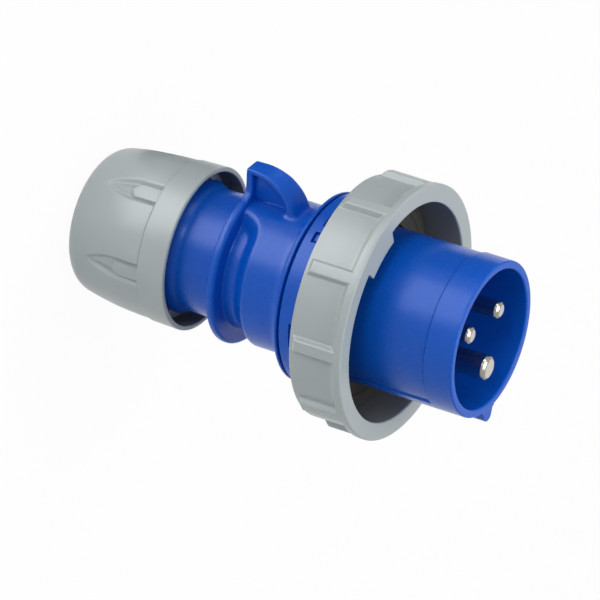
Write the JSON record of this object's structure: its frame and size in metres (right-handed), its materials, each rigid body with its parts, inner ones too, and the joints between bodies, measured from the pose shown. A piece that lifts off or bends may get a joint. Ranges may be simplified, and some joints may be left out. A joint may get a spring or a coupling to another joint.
{
  "type": "industrial plug",
  "caption": "Watertight industrial pin and sleeve plug with a keyed shroud, ribbed bayonet locking ring, hooked grip body and fluted cable gland cap.",
  "frame": {"origin": "centre of the gland cap's flat rear face, on which the plug stands", "axes": "+Z along the plug's axis towards the pins, +Y towards the earth pin and the key, -Y towards the hook, +X completes a right-handed frame"},
  "size_m": [0.0718, 0.0718, 0.1222],
  "materials": {
    "blue_plastic": "satin moulded polyamide",
    "carrier_plastic": "satin moulded polyamide",
    "grey_plastic": "satin moulded polyamide",
    "rubber": "dull black rubber",
    "black_plastic": "dull black polyamide",
    "white_plastic": "natural polyamide",
    "nickel": "bright nickel over brass",
    "steel": "zinc-coated steel"
  },
  "bodies": {
    "plug_body": {"shroud_housing": "blue_plastic", "rear_housing": "blue_plastic", "flange_gasket": "rubber", "housing_seal": "rubber", "gland_seal": "rubber", "gland_seal_insert": "rubber", "clamp_basket": "black_plastic", "pin_carrier": "carrier_plastic", "contact_retainer": "black_plastic", "retainer_screw_left": "steel", "retainer_screw_right": "steel", "earth_pin": "nickel", "line_pin": "nickel", "neutral_pin": "nickel", "earth_screw": "steel", "line_screw": "steel", "neutral_screw": "steel"},
    "locking_ring": {"locking_ring": "grey_plastic"},
    "gland_nut_travel": {"slip_washer": "white_plastic"},
    "gland_nut": {"gland_cap": "grey_plastic"}
  },
  "joints": [
    {"name": "ring_turn", "type": "hinge", "parent": "plug_body", "child": "locking_ring", "pos_m": [0, 0, 0.088], "axis": [0, 0, 1], "range_deg": [0, 40]},
    {"name": "gland_advance", "type": "slide", "parent": "plug_body", "child": "gland_nut_travel", "axis": [0, 0, 1], "range_m": [-0.00401, 0]},
    {"name": "gland_turn", "type": "hinge", "parent": "gland_nut_travel", "child": "gland_nut", "pos_m": [0, 0, 0.018], "axis": [0, 0, 1], "range_deg": [-480, 0]}
  ],
  "couplings": [
    {"joint": "gland_advance", "follows": "gland_turn", "m_per_rad": 0.00047746}
  ]
}
